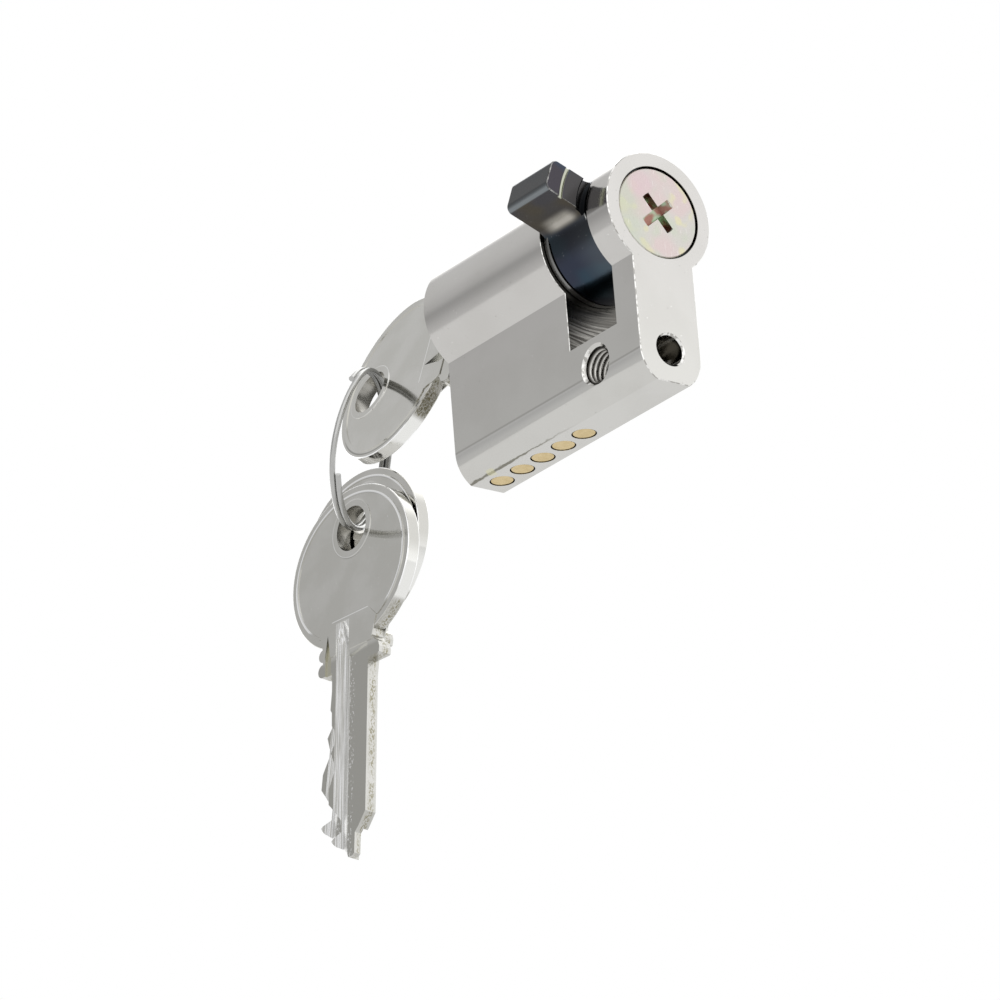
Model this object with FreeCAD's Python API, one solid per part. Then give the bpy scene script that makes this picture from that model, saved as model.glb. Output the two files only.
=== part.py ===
import FreeCAD, Part
import math
import os

from FreeCAD import Placement, Rotation, Vector

# Half-profile lock cylinder with three keys on a split ring, in millimetres.
# The origin is the centre of the fixing hole. +X points across the slab, +Y towards the screw end
# and +Z up to the plug. The first key is in the plug and holds it turned away from its neutral place.

# Cylinder body
plug_axis_up = 19.0
front_reach = 31.0
rear_reach = 9.5
head_radius = 8.5
slab_width = 10.0
foot_round_drop = 20.0
foot_flat_drop = 24.2
edge_break = 0.12
slot_width = 10.0
slot_drop = 15.15
slot_edge_break = 0.07
fixing_hole_radius = 2.5
fixing_hole_mouth_radius = 2.95
rear_hole_radius = 2.1
rear_hole_mouth = 0.28
rear_hole_drop = 19.53
rear_hole_depth = 4.8
drill_point_angle = 118.0

# Plug, with its collar, clip groove and notched tail
plug_radius = 6.5
plug_play = 0.02
plug_proud = 1.1
plug_face_chamfer = 0.3
plug_lip = 0.25
collar_radius = 7.25
collar_length = 1.0
collar_play = 0.05
tail_radius = 4.5
tail_screw_gap = 0.4
tail_notches = 8
tail_notch_radius = 0.6
tail_play = 0.05
screw_hole_radius = 2.5
screw_hole_spare = 1.0

# Pin stacks: the first one lies nearest the key
pin_count = 5
first_pin_from_front = 3.4
pin_pitch = 4.5
pin_radius = 1.45
plug_chamber_play = 0.05
body_chamber_play = 0.075
driver_length = 5.0
shear_play = 0.03
pin_tip_radius = 0.35
pin_tip_height = 1.4
pin_tip_play = 0.03
stopper_radius = 1.6
stopper_seat_play = 0.1
stopper_length = 2.6
stopper_sink = 0.08
stopper_chamfer = 0.1

# Driver springs
spring_wire = 0.35
spring_turns = 6.5
spring_radius = 1.1
spring_seat_play = 0.05

# Clip in the plug's groove
clip_radius = 7.9
clip_thickness = 0.8
clip_play = 0.05
clip_opening = 7.0
clip_wall_gap = 0.15

# Cam
cam_radius = 8.0
cam_chamfer = 0.12
cam_clip_gap = 0.35
cam_wall_gap = 0.3
cam_hub_play = 0.04
lever_reach = 14.5
lever_height = 4.8
lever_wall_gap = 0.6
lever_nose_round = 1.0
lever_edge_round = 0.25
lever_root_fillet = 2.0
lever_clip_gap = 0.25
lever_groove_inner = 11.9
lever_groove_outer = 12.3
lever_groove_depth = 0.35
lever_step_depth = 0.12
lever_relief_inner = 8.3
lever_relief_outer = 9.4
lever_relief_depth = 0.6

# Screw behind the cam
screw_head_radius = 6.3
screw_head_length = 2.05
screw_sink = 0.15
screw_shank_radius = 2.4
screw_shank_length = 8.0
cross_length = 5.9
cross_width = 1.3
cross_foot_reach = 2.1
cross_depth = 1.4
cross_turn = 31.0

# Keys: u runs from the bow's centre away from the tip, v towards the spine
key_thickness = 2.0
bow_length = 23.2
bow_width = 25.6
bow_shift = -0.4
bow_edge_round = 0.2
key_hole_radius = 3.2
key_hole_u = 5.1
key_hole_v = 0.3
collar_ring_radius = 4.15
raised_height = 0.12
bead_inset = 1.15
bead_width = 0.35
bead_end = -9.3
neck_plate_start = -7.6
neck_plate_end = -12.6
neck_half = 5.2
key_stop = 15.0
key_tip = 42.6
key_spine = 4.05
key_axis_v = -2.3
key_stop_gap = 0.4
key_plug_play = 0.12
keyway_depth = 2.1
keyway_end_play = 0.3
key_cuts = [-3.5, -2.6, -2.6, -3.7, -1.5]
cut_flat = 0.4
cut_mill_depth = 0.65
cut_mill_low = -2.6
cut_mill_high = 0.2
cut_mill_middle = -1.2
cut_mill_bottom = 0.2
cut_mill_start = -11.2
cut_mill_run_out = 3.0
spine_mill_depth = 0.7
spine_mill_low = 0.6
spine_mill_high = 2.4
relief_depth = 0.25
shoulder_mill_low = -5.1
shoulder_mill_high = -3.8

# How far the key has turned the plug from its neutral place, in degrees
plug_turn = 160.0

# Split ring of round wire
ring_wire = 0.75
ring_radius = 10.78
ring_strand_gap = 0.42
ring_top = Vector(-0.159, 0.201, 0.967)
ring_across = Vector(0.785, 0.62, 0.0)
ring_end_high = 47.0
ring_end_low = 125.0

# Where the ring's middle line crosses each key, in degrees from the ring's top, and where the
# key's hole then sits from that crossing, in radii of the hole
key_1_crossing = -16.0
key_2_crossing = -154.0
key_3_crossing = -134.0
key_1_rest = Vector(0.148, -0.2, -0.41)
key_2_rest = Vector(-0.025, -0.048, -0.1)
key_3_rest = Vector(-0.035, 0.25, 0.25)
hang_lean = -4.5
hang_twist = 2.3
key_2_hang = -91.9
key_3_hang = -98.5

along = Vector(0, 1, 0)
upward = Vector(0, 0, 1)
spare = 1.0


def rod(radius, start, end):
    """A cylinder about the plug's axis, between two places along it."""
    return Part.makeCylinder(radius, end - start, Vector(0, start, plug_axis_up), along)


def block(x0, x1, y0, y1, z0, z1):
    return Part.makeBox(x1 - x0, y1 - y0, z1 - z0, Vector(x0, y0, z0))


def post(radius, y, bottom, top):
    return Part.makeCylinder(radius, top - bottom, Vector(0, y, bottom), upward)


def prism(points, start, end):
    """An outline of x and z about the plug's axis, drawn out from start to end along Y."""
    corners = [Vector(x, start, plug_axis_up + z) for x, z in points]
    face = Part.Face(Part.makePolygon(corners + corners[:1]))
    return face.extrude(Vector(0, end - start, 0))


def turned(shape, angle=plug_turn):
    """The shape turned with the plug from the neutral place."""
    copy = shape.copy()
    copy.rotate(Vector(0, 0, plug_axis_up), along, angle)
    return copy


def solid(shape):
    """The one solid that a cut or fuse leaves."""
    shape = shape.removeSplitter()
    return shape.Solids[0] if len(shape.Solids) == 1 else shape


plug_face_y = -front_reach - plug_proud
stop_y = plug_face_y - key_stop_gap


def pin_place(index):
    return -front_reach + first_pin_from_front + index * pin_pitch


# Cylinder body: a round head on a slab whose foot is a half round with a flat, milled from one bar
foot_round_z = plug_axis_up - foot_round_drop
foot_flat_z = plug_axis_up - foot_flat_drop
slot_floor_z = plug_axis_up - slot_drop
bore_radius = plug_radius + plug_play
stopper_top_z = foot_flat_z + stopper_length + stopper_sink
driver_top_z = plug_axis_up - plug_radius - shear_play
driver_bottom_z = driver_top_z - driver_length


def profile_bar():
    half = slab_width / 2
    head = rod(head_radius, -front_reach, rear_reach)
    slab = block(-half, half, -front_reach, rear_reach, foot_round_z, plug_axis_up)
    length = front_reach + rear_reach
    foot = Part.makeCylinder(half, length, Vector(0, -front_reach, foot_round_z), along)
    below = block(-half, half, -front_reach, rear_reach, foot_round_z - half - spare, foot_flat_z)
    return solid(head.fuse([slab, foot]).cut(below))


def end_edges(shape, places):
    """The edges that lie wholly in one of the planes square to Y."""
    found = []
    for edge in shape.Edges:
        box = edge.BoundBox
        if any(abs(box.YMin - y) < 1e-3 and abs(box.YMax - y) < 1e-3 for y in places):
            found.append(edge)
    return found


def slot_edges(shape):
    """The slot's edges on the outside of head and slab."""
    found = end_edges(shape, (-slot_width / 2, slot_width / 2))
    floor = slot_floor_z + slot_edge_break
    return [edge for edge in found if edge.BoundBox.ZMax > floor]


def rear_small_hole():
    y = rear_reach - rear_hole_depth
    z = plug_axis_up - rear_hole_drop
    bore = Part.makeCylinder(rear_hole_radius, rear_hole_depth + spare, Vector(0, y, z), along)
    point = rear_hole_radius / math.tan(math.radians(drill_point_angle / 2))
    tip = Part.makeCone(rear_hole_radius, 0, point, Vector(0, y, z), -along)
    wide = rear_hole_radius + rear_hole_mouth
    mouth = Part.makeCone(rear_hole_radius, wide, rear_hole_mouth, Vector(0, rear_reach - rear_hole_mouth, z), along)
    return bore.fuse([tip, mouth])


def fixing_hole():
    half = slab_width / 2
    across = Vector(1, 0, 0)
    through = slab_width + 2 * spare
    hole = Part.makeCylinder(fixing_hole_radius, through, Vector(-half - spare, 0, 0), across)
    depth = fixing_hole_mouth_radius - fixing_hole_radius
    for side in (-1, 1):
        mouth = Part.makeCone(
            fixing_hole_mouth_radius, fixing_hole_radius, depth, Vector(side * half, 0, 0), -side * across)
        hole = hole.fuse(mouth)
    return hole


def cylinder_body():
    body = profile_bar()
    body = body.makeChamfer(edge_break, end_edges(body, (-front_reach, rear_reach)))
    wide = head_radius + spare
    slot = block(-wide, wide, -slot_width / 2, slot_width / 2, slot_floor_z, plug_axis_up + wide)
    body = solid(body.cut(slot))
    body = body.makeChamfer(slot_edge_break, slot_edges(body))
    cuts = [rod(bore_radius, -front_reach - spare, rear_reach + spare)]
    cuts.append(rod(collar_radius + collar_play, -front_reach - spare, -front_reach + collar_length))
    for index in range(pin_count):
        y = pin_place(index)
        cuts.append(post(pin_radius + body_chamber_play, y, foot_flat_z, plug_axis_up))
        cuts.append(post(stopper_radius + stopper_seat_play, y, foot_flat_z - spare, stopper_top_z))
    cuts.append(rear_small_hole())
    cuts.append(fixing_hole())
    return solid(body.cut(cuts))


# Keys: nickel-plated blanks with a milled blade and an oval bow
def key_point(u, v, x=0.0):
    """A point of the key: its tip points along +Y, its spine up, its marked face to +X."""
    return Vector(x, -u, v)


def key_slab(points, low, high):
    corners = [key_point(u, v, low) for u, v in points]
    face = Part.Face(Part.makePolygon(corners + corners[:1]))
    return face.extrude(Vector(high - low, 0, 0))


def key_disc(u, v, radius, low, high):
    return Part.makeCylinder(radius, high - low, key_point(u, v, low), Vector(1, 0, 0))


def bow_oval(inset, low, high):
    """The bow's oval, drawn in by the inset."""
    major = bow_width / 2 - inset
    minor = bow_length / 2 - inset
    centre = key_point(bow_shift, 0, low)
    oval = Part.Ellipse(centre + Vector(0, 0, major), centre - Vector(0, minor, 0), centre)
    face = Part.Face(Part.Wire([oval.toShape()]))
    return face.extrude(Vector(high - low, 0, 0))


def bow():
    """The bow's plate, with its stamped edge rounded."""
    half = key_thickness / 2
    plate = bow_oval(0.0, -half, half)
    rims = [edge for edge in plate.Edges if edge.Closed]
    return plate.makeFillet(bow_edge_round, rims)


def cut_edge():
    """The cut side of the blade from the tip to the stop: one flat under each pin."""
    pin_u = [stop_y - key_stop - pin_place(index) for index in range(pin_count)]
    edge = [(-key_tip + 0.8, 0.2), (-key_tip + 2.3, -2.3), (-key_tip + 3.1, -2.95)]
    edge.append((pin_u[4] - 0.5, key_cuts[4]))
    edge.append((pin_u[4] + 1.1, key_cuts[4]))
    edge.append((pin_u[4] + 2.8, key_cuts[4] - 1.1))
    edge.append((pin_u[3] - 0.6, key_cuts[3]))
    edge.append((pin_u[3] + 4 * cut_flat, key_cuts[3]))
    edge.append((pin_u[2] - 0.7, key_cuts[2]))
    edge.append((pin_u[2] + cut_flat, key_cuts[2]))
    edge.append((pin_u[2] + 2.2, key_cuts[2] - 0.8))
    edge.append((pin_u[1] - 1.0, key_cuts[1]))
    edge.append((pin_u[1] + 2 * cut_flat, key_cuts[1]))
    edge.append((pin_u[1] + 1.7, key_cuts[0] + 0.15))
    edge.append((-key_stop, key_cuts[0]))
    return edge


def key_blank():
    """Bow, neck and blade of one thickness."""
    half = key_thickness / 2
    spine = [(-6.0, neck_half), (-12.0, neck_half), (-12.6, neck_half + 0.3), (-13.3, neck_half + 1.3)]
    spine += [(-key_stop + 0.9, neck_half + 1.6), (-key_stop + 0.1, neck_half + 1.55)]
    spine += [(-key_stop, neck_half + 1.3), (-key_stop, key_spine), (-36.9, key_spine), (-37.7, 3.4)]
    spine += [(-38.7, 2.6), (-39.4, 1.85)]
    tip = [(-key_tip + 0.3, 1.8), (-key_tip, 1.4), (-key_tip, 0.5)]
    stop_side = [(-key_stop, -5.6), (-12.95, -5.6), (-6.0, -5.6)]
    blank = key_slab(spine + tip + cut_edge() + stop_side, -half, half)
    lobes = [key_disc(-11.85, -5.6, 0.9, -half, half), key_disc(-14.05, -5.65, 0.95, -half, half)]
    return blank.fuse([bow()] + lobes)


def bead(low, high):
    """The raised line inside the bow's outline, open over the neck."""
    ring = bow_oval(bead_inset - bead_width / 2, low, high).cut(
        bow_oval(bead_inset + bead_width / 2, low - spare, high + spare))
    far = bead_end - bow_length
    gap = key_slab([(bead_end, bow_width), (far, bow_width), (far, -bow_width), (bead_end, -bow_width)],
                   low - spare, high + spare)
    return ring.cut(gap)


def neck_plate(low, high):
    """The flat of the neck, which the stamp leaves as high as the bead."""
    wide = neck_half + 0.9
    edge = neck_half - 0.2
    points = [(neck_plate_start, edge - 0.7), (bead_end, wide), (neck_plate_end, edge)]
    points += [(neck_plate_end, -edge), (bead_end, -wide), (neck_plate_start, 1.5 - edge)]
    return key_slab(points, low, high)


def mill(low_v, high_v, start_u, point_u, face_x, depth, side):
    """A milled groove from the tip back to a pointed start in the bow."""
    far = -key_tip - spare
    middle = (low_v + high_v) / 2
    points = [(far, low_v), (start_u, low_v), (point_u, middle), (start_u, high_v), (far, high_v)]
    floor = face_x - side * depth
    outer = face_x + side * spare
    return key_slab(points, min(floor, outer), max(floor, outer))


def cut_mill_section(shift):
    """The section of the cut side's groove, as x and v: two slopes that meet in a narrow bottom."""
    half = key_thickness / 2
    outer = half + 2 * spare
    bottom = half - cut_mill_depth + shift
    side = cut_mill_bottom / 2
    section = [(outer, cut_mill_low), (half + shift, cut_mill_low), (bottom, cut_mill_middle - side)]
    section += [(bottom, cut_mill_middle + side), (half - relief_depth + shift, cut_mill_high)]
    section.append((outer, cut_mill_high))
    return section


def cut_mill():
    """The cut side's groove: straight from the tip to the bow, where the cutter rises out of it."""
    corners = [key_point(cut_mill_start, v, x) for x, v in cut_mill_section(0.0)]
    face = Part.Face(Part.makePolygon(corners + corners[:1]))
    straight = face.extrude(Vector(0, key_tip + spare + cut_mill_start, 0))
    return straight.fuse(face.extrude(Vector(cut_mill_depth, -cut_mill_run_out, 0)))


def key_blade_cuts():
    """The grooves of both faces, as tools."""
    half = key_thickness / 2
    marked = [cut_mill()]
    relief = [(-key_tip - spare, cut_mill_high), (-13.6, cut_mill_high), (-12.9, 3.0), (-12.8, 4.2)]
    relief.append((-key_tip - spare, 4.2))
    marked.append(key_slab(relief, half - relief_depth, half + spare))
    marked.append(mill(shoulder_mill_low, shoulder_mill_high, -12.8, -9.3, half, relief_depth, 1))
    plain = [mill(spine_mill_low, spine_mill_high, -11.5, -8.0, -half, spine_mill_depth, -1)]
    return marked + plain


def make_key():
    half = key_thickness / 2
    key = key_blank()
    for low, high in ((half, half + raised_height), (-half - raised_height, -half)):
        collar = key_disc(key_hole_u, key_hole_v, collar_ring_radius, low, high)
        key = key.fuse([collar, bead(low, high), neck_plate(low, high)])
    hole = key_disc(key_hole_u, key_hole_v, key_hole_radius, -half - spare, half + spare)
    return solid(key.cut(key_blade_cuts() + [hole]))


def key_in_plug(shape):
    """Moves a key from its own place into the plug's keyway, at the neutral turn."""
    copy = shape.copy()
    copy.translate(Vector(0, stop_y - key_stop, plug_axis_up - key_axis_v))
    return copy


def keyway():
    """The blade's section with play all round, open at the top of the plug."""
    half = key_thickness / 2
    play = key_plug_play
    low = -keyway_depth
    top = plug_radius + spare
    wide = half + play
    end = stop_y - key_stop + key_tip + keyway_end_play
    start = plug_face_y - spare
    room = prism([(-wide, low), (wide, low), (wide, top), (-wide, top)], start, end)

    def ward(x0, x1, v0, v1):
        z0, z1 = v0 - key_axis_v, v1 - key_axis_v
        return prism([(x0, z0), (x1, z0), (x1, z1), (x0, z1)], start - spare, end + spare)

    open_top = top + key_axis_v + spare
    shallow = half - relief_depth + play
    slopes = [(x, v - key_axis_v) for x, v in cut_mill_section(2 * play)]
    wards = [prism(slopes, start - spare, end + spare)]
    wards.append(ward(shallow, wide + spare, cut_mill_high - 2 * play, open_top))
    spine_deep = -half + spine_mill_depth - play
    wards.append(ward(-wide - spare, spine_deep, spine_mill_low + play, spine_mill_high - play))
    return room.cut(wards)


# Plug and what turns with it, built at the neutral place
clip_start = -slot_width / 2 + clip_wall_gap
clip_end = clip_start + clip_thickness
plug_end = clip_end + clip_play + plug_lip
cam_start = clip_end + cam_clip_gap
cam_end = slot_width / 2 - cam_wall_gap
cam_hub_end = rear_reach - screw_sink - screw_head_length
tail_end = cam_hub_end - tail_screw_gap
lever_start = lever_wall_gap - slot_width / 2
lever_end = slot_width / 2 - lever_wall_gap


def tail_notch_tools(radius, start, end):
    tools = []
    for index in range(tail_notches):
        angle = 2 * math.pi * index / tail_notches
        x = tail_radius * math.sin(angle)
        z = tail_radius * math.cos(angle)
        tools.append(Part.makeCylinder(radius, end - start, Vector(x, start, plug_axis_up + z), along))
    return tools


def plug():
    core = rod(plug_radius, plug_face_y + plug_face_chamfer, plug_end)
    collar = rod(collar_radius, plug_face_y, -front_reach + collar_length - collar_play)
    collar = collar.makeChamfer(plug_face_chamfer, end_edges(collar, (plug_face_y,)))
    tail = rod(tail_radius, plug_end, tail_end).cut(
        tail_notch_tools(tail_notch_radius, cam_start, tail_end + spare))
    groove_start = clip_start - clip_play
    groove_end = clip_end + clip_play
    groove = rod(plug_radius + spare, groove_start, groove_end).cut(
        rod(plug_radius - 0.5, groove_start - spare, groove_end + spare))
    screw_hole_start = cam_hub_end - screw_shank_length - screw_hole_spare
    cuts = [groove, keyway(), rod(screw_hole_radius, screw_hole_start, tail_end + spare)]
    chamber_top = plug_axis_up + max(key_cuts) - key_axis_v + plug_chamber_play
    for index in range(pin_count):
        bottom = plug_axis_up - plug_radius - spare
        cuts.append(post(pin_radius + plug_chamber_play, pin_place(index), bottom, chamber_top))
    return solid(core.fuse([collar, tail]).cut(cuts))


def retaining_ring():
    """An open clip that snaps into the plug's groove."""
    ring = rod(clip_radius, clip_start, clip_end).cut(
        rod(plug_radius - 0.5 + clip_play, clip_start - spare, clip_end + spare))
    half = clip_opening / 2
    mouth = prism([(-half, 0), (half, 0), (half, -2 * clip_radius), (-half, -2 * clip_radius)],
                  clip_start - spare, clip_end + spare)
    return solid(ring.cut(mouth))


def lever():
    """The cam's lever: straight flanks that run into the ring with a fillet on each side."""
    half = lever_height / 2
    reach = cam_radius + lever_root_fillet
    centre_z = half + lever_root_fillet
    centre_x = -math.sqrt(reach ** 2 - centre_z ** 2)
    share = cam_radius / reach

    def at(x, z):
        return Vector(x, lever_start, plug_axis_up + z)

    begin = -math.pi / 2
    finish = math.atan2((share - 1) * centre_z, (share - 1) * centre_x)
    middle = (begin + finish) / 2
    mid_x = centre_x + lever_root_fillet * math.cos(middle)
    mid_z = centre_z + lever_root_fillet * math.sin(middle)
    edges = []
    for side in (1, -1):
        flank = at(centre_x, side * half)
        root = at(share * centre_x, side * share * centre_z)
        corner = at(-lever_reach + lever_nose_round, side * half)
        nose = at(-lever_reach, side * (half - lever_nose_round))
        bulge = lever_nose_round * (1 - math.sqrt(0.5))
        edges.append(Part.Arc(nose, at(-lever_reach + bulge, side * (half - bulge)), corner).toShape())
        edges.append(Part.makeLine(corner, flank))
        edges.append(Part.Arc(flank, at(mid_x, side * mid_z), root).toShape())
        edges.append(Part.makeLine(root, at(-tail_radius - spare, 0)))
    flat = half - lever_nose_round
    edges.append(Part.makeLine(at(-lever_reach, flat), at(-lever_reach, -flat)))
    outline = Part.Wire(Part.__sortEdges__(edges))
    blade = Part.Face(outline).extrude(Vector(0, lever_end - lever_start, 0))
    ends = end_edges(blade, (lever_start, lever_end))
    outer = [edge for edge in ends if edge.CenterOfMass.x < centre_x - 0.1]
    return blade.makeFillet(lever_edge_round, outer)


def lever_rear_room():
    """What is turned off the lever's rear side: a relief, a step with a round rim and a groove."""
    rim = lever_groove_depth - lever_step_depth
    relief = lever_end - lever_relief_depth
    step = lever_end - lever_step_depth
    groove = lever_end - lever_groove_depth
    profile = [(lever_relief_inner, lever_end + spare), (lever_relief_inner, relief)]
    profile += [(lever_relief_outer, relief), (lever_relief_outer, step - rim)]
    profile += [(lever_relief_outer + 0.3 * rim, step - 0.3 * rim), (lever_relief_outer + rim, step)]
    profile += [(lever_groove_inner - rim, step), (lever_groove_inner - 0.3 * rim, step - 0.3 * rim)]
    profile += [(lever_groove_inner, groove), (lever_groove_outer, groove)]
    profile += [(lever_groove_outer + 0.3 * rim, lever_end - 0.3 * rim), (lever_groove_outer + rim, lever_end)]
    profile.append((lever_groove_outer + rim, lever_end + spare))
    corners = [Vector(-radius, y, plug_axis_up) for radius, y in profile]
    face = Part.Face(Part.makePolygon(corners + corners[:1]))
    return face.revolve(Vector(0, 0, plug_axis_up), along, 360)


def cam():
    ring = rod(cam_radius, cam_start, cam_end)
    ring = ring.makeChamfer(cam_chamfer, end_edges(ring, (cam_start, cam_end)))
    hub = rod(bore_radius - cam_hub_play, cam_end, cam_hub_end)
    clip_room = rod(cam_radius + lever_clip_gap, lever_start - spare, cam_start)
    blade = lever().cut([clip_room, lever_rear_room()])
    seat = rod(tail_radius + tail_play, cam_start - spare, cam_hub_end + spare)
    seat = seat.cut(tail_notch_tools(tail_notch_radius - tail_play, cam_start - 2 * spare, tail_end))
    return solid(ring.fuse([hub, blade]).cut(seat))


def retaining_screw():
    head_end = cam_hub_end + screw_head_length
    head = rod(screw_head_radius, cam_hub_end, head_end)
    head = head.makeChamfer(edge_break, end_edges(head, (head_end,)))
    shank = rod(screw_shank_radius, cam_hub_end - screw_shank_length, cam_hub_end)
    half = cross_length / 2
    wide = cross_width / 2
    arm = prism([(-half, -wide), (half, -wide), (half, wide), (-half, wide)],
                head_end - cross_depth, head_end + spare)
    cross_start = head_end - cross_depth
    room = Part.makeCone(cross_foot_reach, half, cross_depth, Vector(0, cross_start, plug_axis_up), along)
    room = room.fuse(rod(half, head_end, head_end + spare))
    wing = arm.common(room)
    cross = wing.fuse(turned(wing, 90.0))
    return solid(head.fuse(shank).cut(turned(cross, -cross_turn)))


def key_pin(index):
    """Round at its outer end like the plug, with a cone that sits on the key's cut."""
    y = pin_place(index)
    top = plug_axis_up + key_cuts[index] - key_axis_v - pin_tip_play
    bottom = plug_axis_up - plug_radius - spare
    shaft = post(pin_radius, y, bottom, top - pin_tip_height)
    tip = Part.makeCone(pin_radius, pin_tip_radius, pin_tip_height, Vector(0, y, top - pin_tip_height), upward)
    inside = rod(plug_radius - shear_play, y - 2 * pin_radius, y + 2 * pin_radius)
    return solid(shaft.fuse(tip).common(inside))


def driver_pin(index):
    pin = post(pin_radius, pin_place(index), driver_bottom_z, driver_top_z)
    return pin.makeChamfer(edge_break / 2, [edge for edge in pin.Edges if len(edge.Vertexes) == 1])


def chamber_plug(index):
    bottom = foot_flat_z + stopper_sink
    stopper = post(stopper_radius, pin_place(index), bottom, stopper_top_z)
    rims = [edge for edge in stopper.Edges if edge.BoundBox.ZMax < bottom + stopper_sink]
    return stopper.makeChamfer(stopper_chamfer, rims)


# Wound wire: one unbroken tube on pairs of arcs that keep each other's direction
def arc_between(start, end, handle):
    """The arc from start to end whose end tangents meet at the handle."""
    chord = end - start
    lift = handle - (start + end) * 0.5
    if lift.Length < 1e-6:
        return Part.makeLine(start, end)
    half_turn = math.atan2(lift.Length, chord.Length / 2)
    sagitta = chord.Length / 2 * math.tan(half_turn / 2)
    middle = (start + end) * 0.5 + lift.normalize() * sagitta
    return Part.Arc(start, middle, end).toShape()


def biarc(start, start_way, end, end_way):
    span = end - start
    ways = start_way + end_way
    share = 2 * (1 - start_way.dot(end_way))
    reach = span.dot(ways)
    if share < 1e-9:
        handle = span.dot(span) / (2 * reach)
    else:
        handle = (math.sqrt(reach ** 2 + share * span.dot(span)) - reach) / share
    first = start + start_way * handle
    second = end - end_way * handle
    joint = (first + second) * 0.5
    return [arc_between(start, joint, first), arc_between(joint, end, second)]


def wire_tube(points, ways, diameter, end_run):
    """A round wire along biarcs, with a straight run at each end."""
    edges = [Part.makeLine(points[0] - ways[0] * end_run, points[0])]
    for index in range(len(points) - 1):
        edges += biarc(points[index], ways[index], points[index + 1], ways[index + 1])
    edges.append(Part.makeLine(points[-1], points[-1] + ways[-1] * end_run))
    path = Part.Wire(edges)
    start = points[0] - ways[0] * end_run
    profile = Part.Wire(Part.Circle(start, ways[0], diameter / 2).toShape())
    shape = path.makePipeShell([profile], True, False)
    expected = math.pi * diameter ** 2 / 4 * path.Length
    print("wire volume", round(shape.Volume, 3), "of", round(expected, 3))
    return Part.Solid(shape) if shape.ShapeType == "Shell" else shape


def least_gap(points, diameter):
    """The least gap of a wound wire to itself, measured between points more than a half turn apart."""
    least = 1e9
    reach = sum((points[i + 1] - points[i]).Length for i in range(len(points) - 1))
    step = reach / (len(points) - 1)
    apart = int(math.ceil(4 * diameter / step))
    for i in range(len(points)):
        for j in range(i + apart, len(points)):
            least = min(least, (points[i] - points[j]).Length)
    return least - diameter


def pin_spring(index):
    y = pin_place(index)
    low = stopper_top_z + spring_wire / 2 + spring_seat_play
    high = driver_bottom_z - spring_wire / 2 - spring_seat_play
    quarters = int(4 * spring_turns)
    rise = (high - low) / quarters

    def place(step):
        angle = step * math.pi / 2
        return Vector(spring_radius * math.cos(angle), y + spring_radius * math.sin(angle), low + rise * step)

    def way(step):
        angle = step * math.pi / 2
        speed = spring_radius * math.pi / 2
        return Vector(-speed * math.sin(angle), speed * math.cos(angle), rise).normalize()

    if index == 0:
        fine = [place(step / 6.0) for step in range(6 * quarters + 1)]
        print("spring gap", round(least_gap(fine, spring_wire), 3))
    steps = range(quarters + 1)
    return wire_tube([place(s) for s in steps], [way(s) for s in steps], spring_wire, 0.01)


# Split ring: the wire runs round once, steps over to its second strand and runs round again
ring_top.normalize()
ring_across = (ring_across - ring_top * ring_across.dot(ring_top)).normalize()
ring_normal = ring_top.cross(ring_across)


def ring_direction(angle):
    turn = math.radians(angle)
    return ring_top * math.cos(turn) + ring_across * math.sin(turn)


key_hole_in_plug = turned(Part.Vertex(key_in_plug(Part.Vertex(key_point(key_hole_u, key_hole_v))).Point)).Point
ring_centre = key_hole_in_plug - key_1_rest * key_hole_radius - ring_direction(key_1_crossing) * ring_radius


def ring_point(angle, offset):
    return ring_centre + ring_direction(angle) * ring_radius + ring_normal * offset


def ring_offset(angle):
    """Which strand the wire is on: it steps across between the two ends."""
    strand = (ring_wire + ring_strand_gap) / 2
    step_start = ring_end_low - 360
    step_end = ring_end_high - 360
    if angle >= step_start:
        return -strand
    if angle <= step_end:
        return strand
    share = (step_start - angle) / (step_start - step_end)
    return -strand * math.cos(math.pi * share)


def ring_way(angle):
    small = 0.01
    ahead = ring_point(angle - small, ring_offset(angle - small))
    behind = ring_point(angle + small, ring_offset(angle + small))
    return (ahead - behind).normalize()


def key_ring():
    marks = [ring_end_high, 0, -55, -115, -175, ring_end_low - 360]
    step_middle = (ring_end_low + ring_end_high) / 2 - 360
    marks += [step_middle, ring_end_high - 360, -360, -415, -475, -535, ring_end_low - 720]
    fine = []
    angle = ring_end_high
    while angle >= ring_end_low - 720:
        fine.append(ring_point(angle, ring_offset(angle)))
        angle -= 5
    print("ring gap", round(least_gap(fine, ring_wire), 3))
    points = [ring_point(mark, ring_offset(mark)) for mark in marks]
    ways = [ring_way(mark) for mark in marks]
    return wire_tube(points, ways, ring_wire, ring_wire)


def hanging_key(shape, crossing, rest, hang):
    """A loose key that hangs by its hole from the ring."""
    hole = key_point(key_hole_u, key_hole_v)
    turn = Rotation(upward, hang_twist) * Rotation(along, hang_lean) * Rotation(Vector(1, 0, 0), hang)
    place = ring_point(crossing, 0) + rest * key_hole_radius
    copy = shape.copy()
    copy.Placement = Placement(place - turn.multVec(hole), turn)
    print("hole", [round(value, 4) for value in place], "axis",
          [round(value, 5) for value in turn.multVec(Vector(1, 0, 0))])
    return copy


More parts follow.
